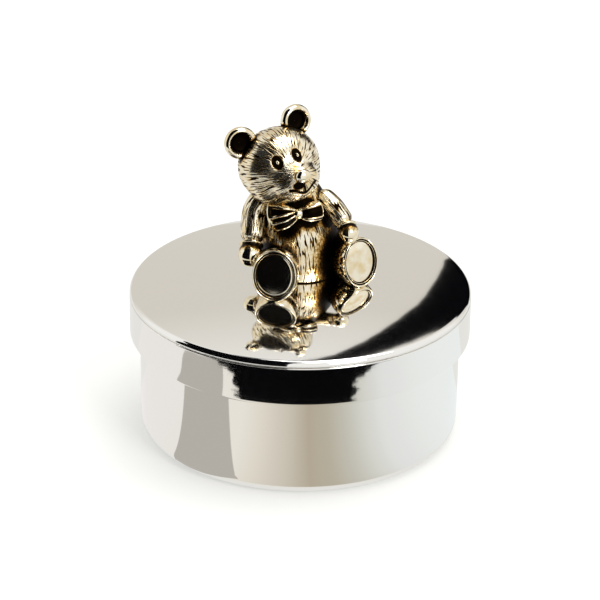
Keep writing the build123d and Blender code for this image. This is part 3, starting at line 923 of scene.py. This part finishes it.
def card(name, points, code=None, material=None):
    """Flat or curved card, in one even colour or of a given material, that only the metal sees."""
    if material is None:
        material, tree = new_material(name)
        light = add_node(tree, "Emission", {"Color": linear(code)})
        add_node(tree, "OutputMaterial", {0: light})
    hung = sheet(name, points, material)
    for ray in ("camera", "diffuse", "transmission", "volume_scatter", "shadow"):
        setattr(hung, f"visible_{ray}", False)


def between(starts, ends, steps=24):
    """Rows of values that run evenly, each from its own start to its own end."""
    share = np.linspace(0, 1, steps)
    return np.asarray(starts)[:, None] * (1 - share) + np.asarray(ends)[:, None] * share


def ring_strip(lefts, rights, radii, height):
    """Rows of points at radii about the box, by left and right ends in degrees from -Y towards +X."""
    angle, radius = np.radians(between(lefts, rights, steps=48)), np.asarray(radii)[:, None] * MM
    return np.stack([radius * np.sin(angle), -radius * np.cos(angle), height + 0 * angle], -1)


def dome_strip(turns, rises, radius, middle):
    """Points on a sphere about a height above the table, by degrees from -Y towards +X and degrees up."""
    turn, rise = np.radians(turns), np.radians(rises)[:, None]
    return np.stack([
        radius * np.sin(turn) * np.cos(rise), -radius * np.cos(turn) * np.cos(rise),
        middle + radius * np.sin(rise) + 0 * turn,
    ], -1)


floor_material, floor_tree = new_material("white_paper_sweep")
rays = add_node(floor_tree, "LightPath")
paper = add_node(floor_tree, "BsdfDiffuse", {"Color": linear("F4F4F2")})
glow = add_node(floor_tree, "Emission", {"Color": linear("EFEFEC"), "Strength": paper_glow})
lift = add_node(floor_tree, "Math", {0: rays.outputs["Is Camera Ray"], 1: paper_lift}, operation="MULTIPLY")
share = add_node(floor_tree, "Math", {0: rays.outputs["Is Glossy Ray"], 1: lift}, operation="MAXIMUM")
sweep = add_node(floor_tree, "MixShader", {0: share, 1: paper, 2: glow})
add_node(floor_tree, "OutputMaterial", {0: sweep})
floor_corners = floor_half * np.array([[(-1, -1, 0), (1, -1, 0)], [(-1, 1, 0), (1, 1, 0)]])
sheet("floor", floor_corners, floor_material)

# Black board on the floor in front, whose inner edge curves away to the right, with torn sides that
# make the ragged ends of the dark band on the skirt.
torn, tear_reach = np.random.default_rng(7), 3
board_radii = np.concatenate([np.arange(52, 70, 0.5), [76]])
tears = torn.uniform(-tear_reach, tear_reach, len(board_radii))
lefts = np.interp(board_radii, [52, 57.5, 59.5, 61, 63.5, 67], [-32, -34, -36, -40, -46, -53])
rights = np.interp(board_radii, [52, 57.5, 60, 62, 63.5, 67], [29, 30, 32, 36, 44, 52])
board = ring_strip(lefts + tears, rights + tears[::-1], board_radii, height=0.6 * MM)
card("black_board_on_floor", board, dead_black)

# Black wall far behind, with rounded shoulders, and a black strip that carries on from its top over the
# ceiling. The lid's dome shows them as its black field. Their sides are in degrees from the back.
wall_distance = 5.0
wall_rises = np.array([0, 9, 12, 15, 21.5, 28.8, 30, 33, 39.6, 44.6, 48.4, 51, 53.4, 54.9, 56.1])
wall_left = np.interp(
    wall_rises, [9, 12, 15, 21.5, 28.8, 32.8, 39.6, 44.6, 48.4, 51, 53.4, 54.9, 56.1],
    [11, 11.2, 11.9, 13.1, 14.2, 14.6, 14.2, 13.1, 11.6, 9.6, 7.2, 3.8, -2],
)
wall_right = np.interp(
    wall_rises, [30, 33, 43.8, 47.1, 50.3, 52.7, 54.4, 56.1], [40, 21, 19, 17.6, 15.5, 13.1, 10.7, 6]
)
wall = dome_strip(180 - between(wall_left, wall_right), wall_rises, wall_distance, middle=lid_apex)
card("black_wall_behind", wall, dead_black)
ceiling_rises = np.linspace(56.1, 90, 12)
ceiling_left = np.interp(ceiling_rises, [56.1, 58, 62, 90], [-2, -20, -28, -30])
ceiling_turns = 180 - between(ceiling_left, np.full_like(ceiling_left, 7))
ceiling = dome_strip(ceiling_turns, ceiling_rises, wall_distance, middle=lid_apex)
card("black_ceiling_strip", ceiling, dead_black)

# Tall black flag close by on the front left, which darkens the side of the bear that is turned to it,
# with a top that leans over towards the middle.
flag_rises = [-11, 30, 42, 50, 60, 68, 75, 84]
flag_starts = [-78, -78, -96, -112, -118, -118, -118, -118]
flag_ends = [-7, -7, -6, -5, 0, 4, 8, 12]
flag = dome_strip(between(flag_starts, flag_ends), flag_rises, radius=130 * MM, middle=28 * MM)
card("tall_black_flag", flag, dead_black)

# Painted shadow: a grey sheet on the floor to the left, from the cup's foot outwards, with rounded far
# corners, where the box's own shadow falls. The metal shows it as the soft grey band on its left.
reach = np.linspace(0, 1, 24)
edge_stands = [0, 0.68, 0.75, 1.0]
left_edge = [(-18.0, -14.0), (-46.7, -17.2), (-49.5, -20.5), (-59.0, -23.0)]
right_edge = [(-9.5, -22.5), (-33.9, -39.9), (-36.5, -42.6), (-45.0, -49.0)]
corner_start, corner_width = 0.85, 0.22
narrowing = np.clip((reach[:, None] - corner_start) / (1 - corner_start), 0, 1)
corner_draw = corner_width * (1 - np.sqrt(1 - narrowing ** 2))
left_line, right_line = (
    np.stack([np.interp(reach, edge_stands, column) for column in np.transpose(edge)], -1)
    for edge in (left_edge, right_edge)
)
across = (corner_draw + (1 - 2 * corner_draw) * np.linspace(0, 1, 12))[..., None]
shadow_points = (left_line[:, None] * (1 - across) + right_line[:, None] * across) * MM
shadow_height = np.full(across.shape, 0.4 * MM)
card("painted_shadow_on_floor", np.concatenate([shadow_points, shadow_height], -1), "B8B5AF")

# Painted reflection of the white paper round the box: a glowing ring that only the metal sees, a little
# darker and warmer straight in front, and cooler to the right. Its colours run round the box by the angle
# from straight in front.
floor_reflection_light, tint_tree = new_material("painted_floor_reflection")
tint_place = add_node(tint_tree, "TexCoord").outputs["Object"]
tint_split = add_node(tint_tree, "SeparateXYZ", {0: tint_place})
tint_minus = add_node(tint_tree, "Math", {0: tint_split.outputs[1], 1: -1.0}, operation="MULTIPLY")
tint_angle = add_node(tint_tree, "Math", {0: tint_split.outputs[0], 1: tint_minus}, operation="ARCTAN2")
tint_share = add_node(tint_tree, "MapRange", {"Value": tint_angle, 1: -pi / 2, 2: pi / 2})
tint_ramp = add_node(tint_tree, "ValToRGB", {0: tint_share})
tint_stops = {
    -75: "EFEDEC", -30: "EDEAE3", -20: "E4DFD5", -6: "D0CABE", 5: "B8AE9D", 15: "BCB6A7", 25: "C8C7BE",
    34: "D9DAD5", 45: "E6E8E9", 65: "EDF1F1", 85: "F0F5F6",
}
fill_ramp(tint_ramp, {(degrees + 90) / 180: code for degrees, code in tint_stops.items()})
tint_light = add_node(tint_tree, "Emission", {"Color": tint_ramp})
add_node(tint_tree, "OutputMaterial", {0: tint_light})
reflection_ring = ring_strip([-110, -110], [110, 110], [23.8, 75], height=0.2 * MM)
card("painted_floor_reflection", reflection_ring, material=floor_reflection_light)

# Air round the studio: an even white for the light on the box. The metal sees it turn a little greyer
# and warmer towards the back, which tones down the dome round its black field.
world = bpy.data.worlds.new("white_surround")
bpy.context.scene.world = world
world.use_nodes = True
air = world.node_tree
air.nodes.clear()
greying_start, greying_end = 0.45, 0.78
heading = add_node(air, "TexCoord").outputs["Generated"]
depthwise = add_node(air, "SeparateXYZ", {0: heading}).outputs[1]
toward_back = add_node(air, "MapRange", {"Value": depthwise, 1: greying_start, 2: greying_end})
surround = add_node(air, "Mix", {
    "Factor": toward_back, 6: linear("F6F6F4"), 7: linear("D8D4CC"),
}, data_type="RGBA")
air_rays = add_node(air, "LightPath")
seen_colour = add_node(air, "Mix", {
    "Factor": air_rays.outputs["Is Glossy Ray"], 6: linear("FFFFFF"), 7: surround.outputs[2],
}, data_type="RGBA")
air_glow = add_node(air, "Background", {"Color": seen_colour.outputs[2]})
add_node(air, "OutputWorld", {0: air_glow})

# Lamps: a large soft box overhead for the broad light, and a smaller one to the front right, which lays
# soft highlights on the gold. Both face the box.
lamps = {
    "overhead_softbox": {"place": (0.1, 0.1, 0.8), "size": 0.5, "power": 3.0},
    "front_softbox": {"place": (0.35, -0.5, 0.5), "size": 0.25, "power": 2.0},
}
for name, lamp in lamps.items():
    light = bpy.data.lights.new(name, "AREA")
    light.size, light.energy = lamp["size"], lamp["power"]
    holder = bpy.data.objects.new(name, light)
    back = np.array(lamp["place"]) / np.linalg.norm(lamp["place"])
    right = np.cross((0, 0, 1), back)
    right /= np.linalg.norm(right)
    aim = Matrix(np.column_stack([right, np.cross(back, right), back]).tolist()).to_4x4()
    holder.matrix_world = Matrix.Translation(lamp["place"]) @ aim
    bpy.context.collection.objects.link(holder)

bpy.context.scene.view_settings.view_transform = "Standard"

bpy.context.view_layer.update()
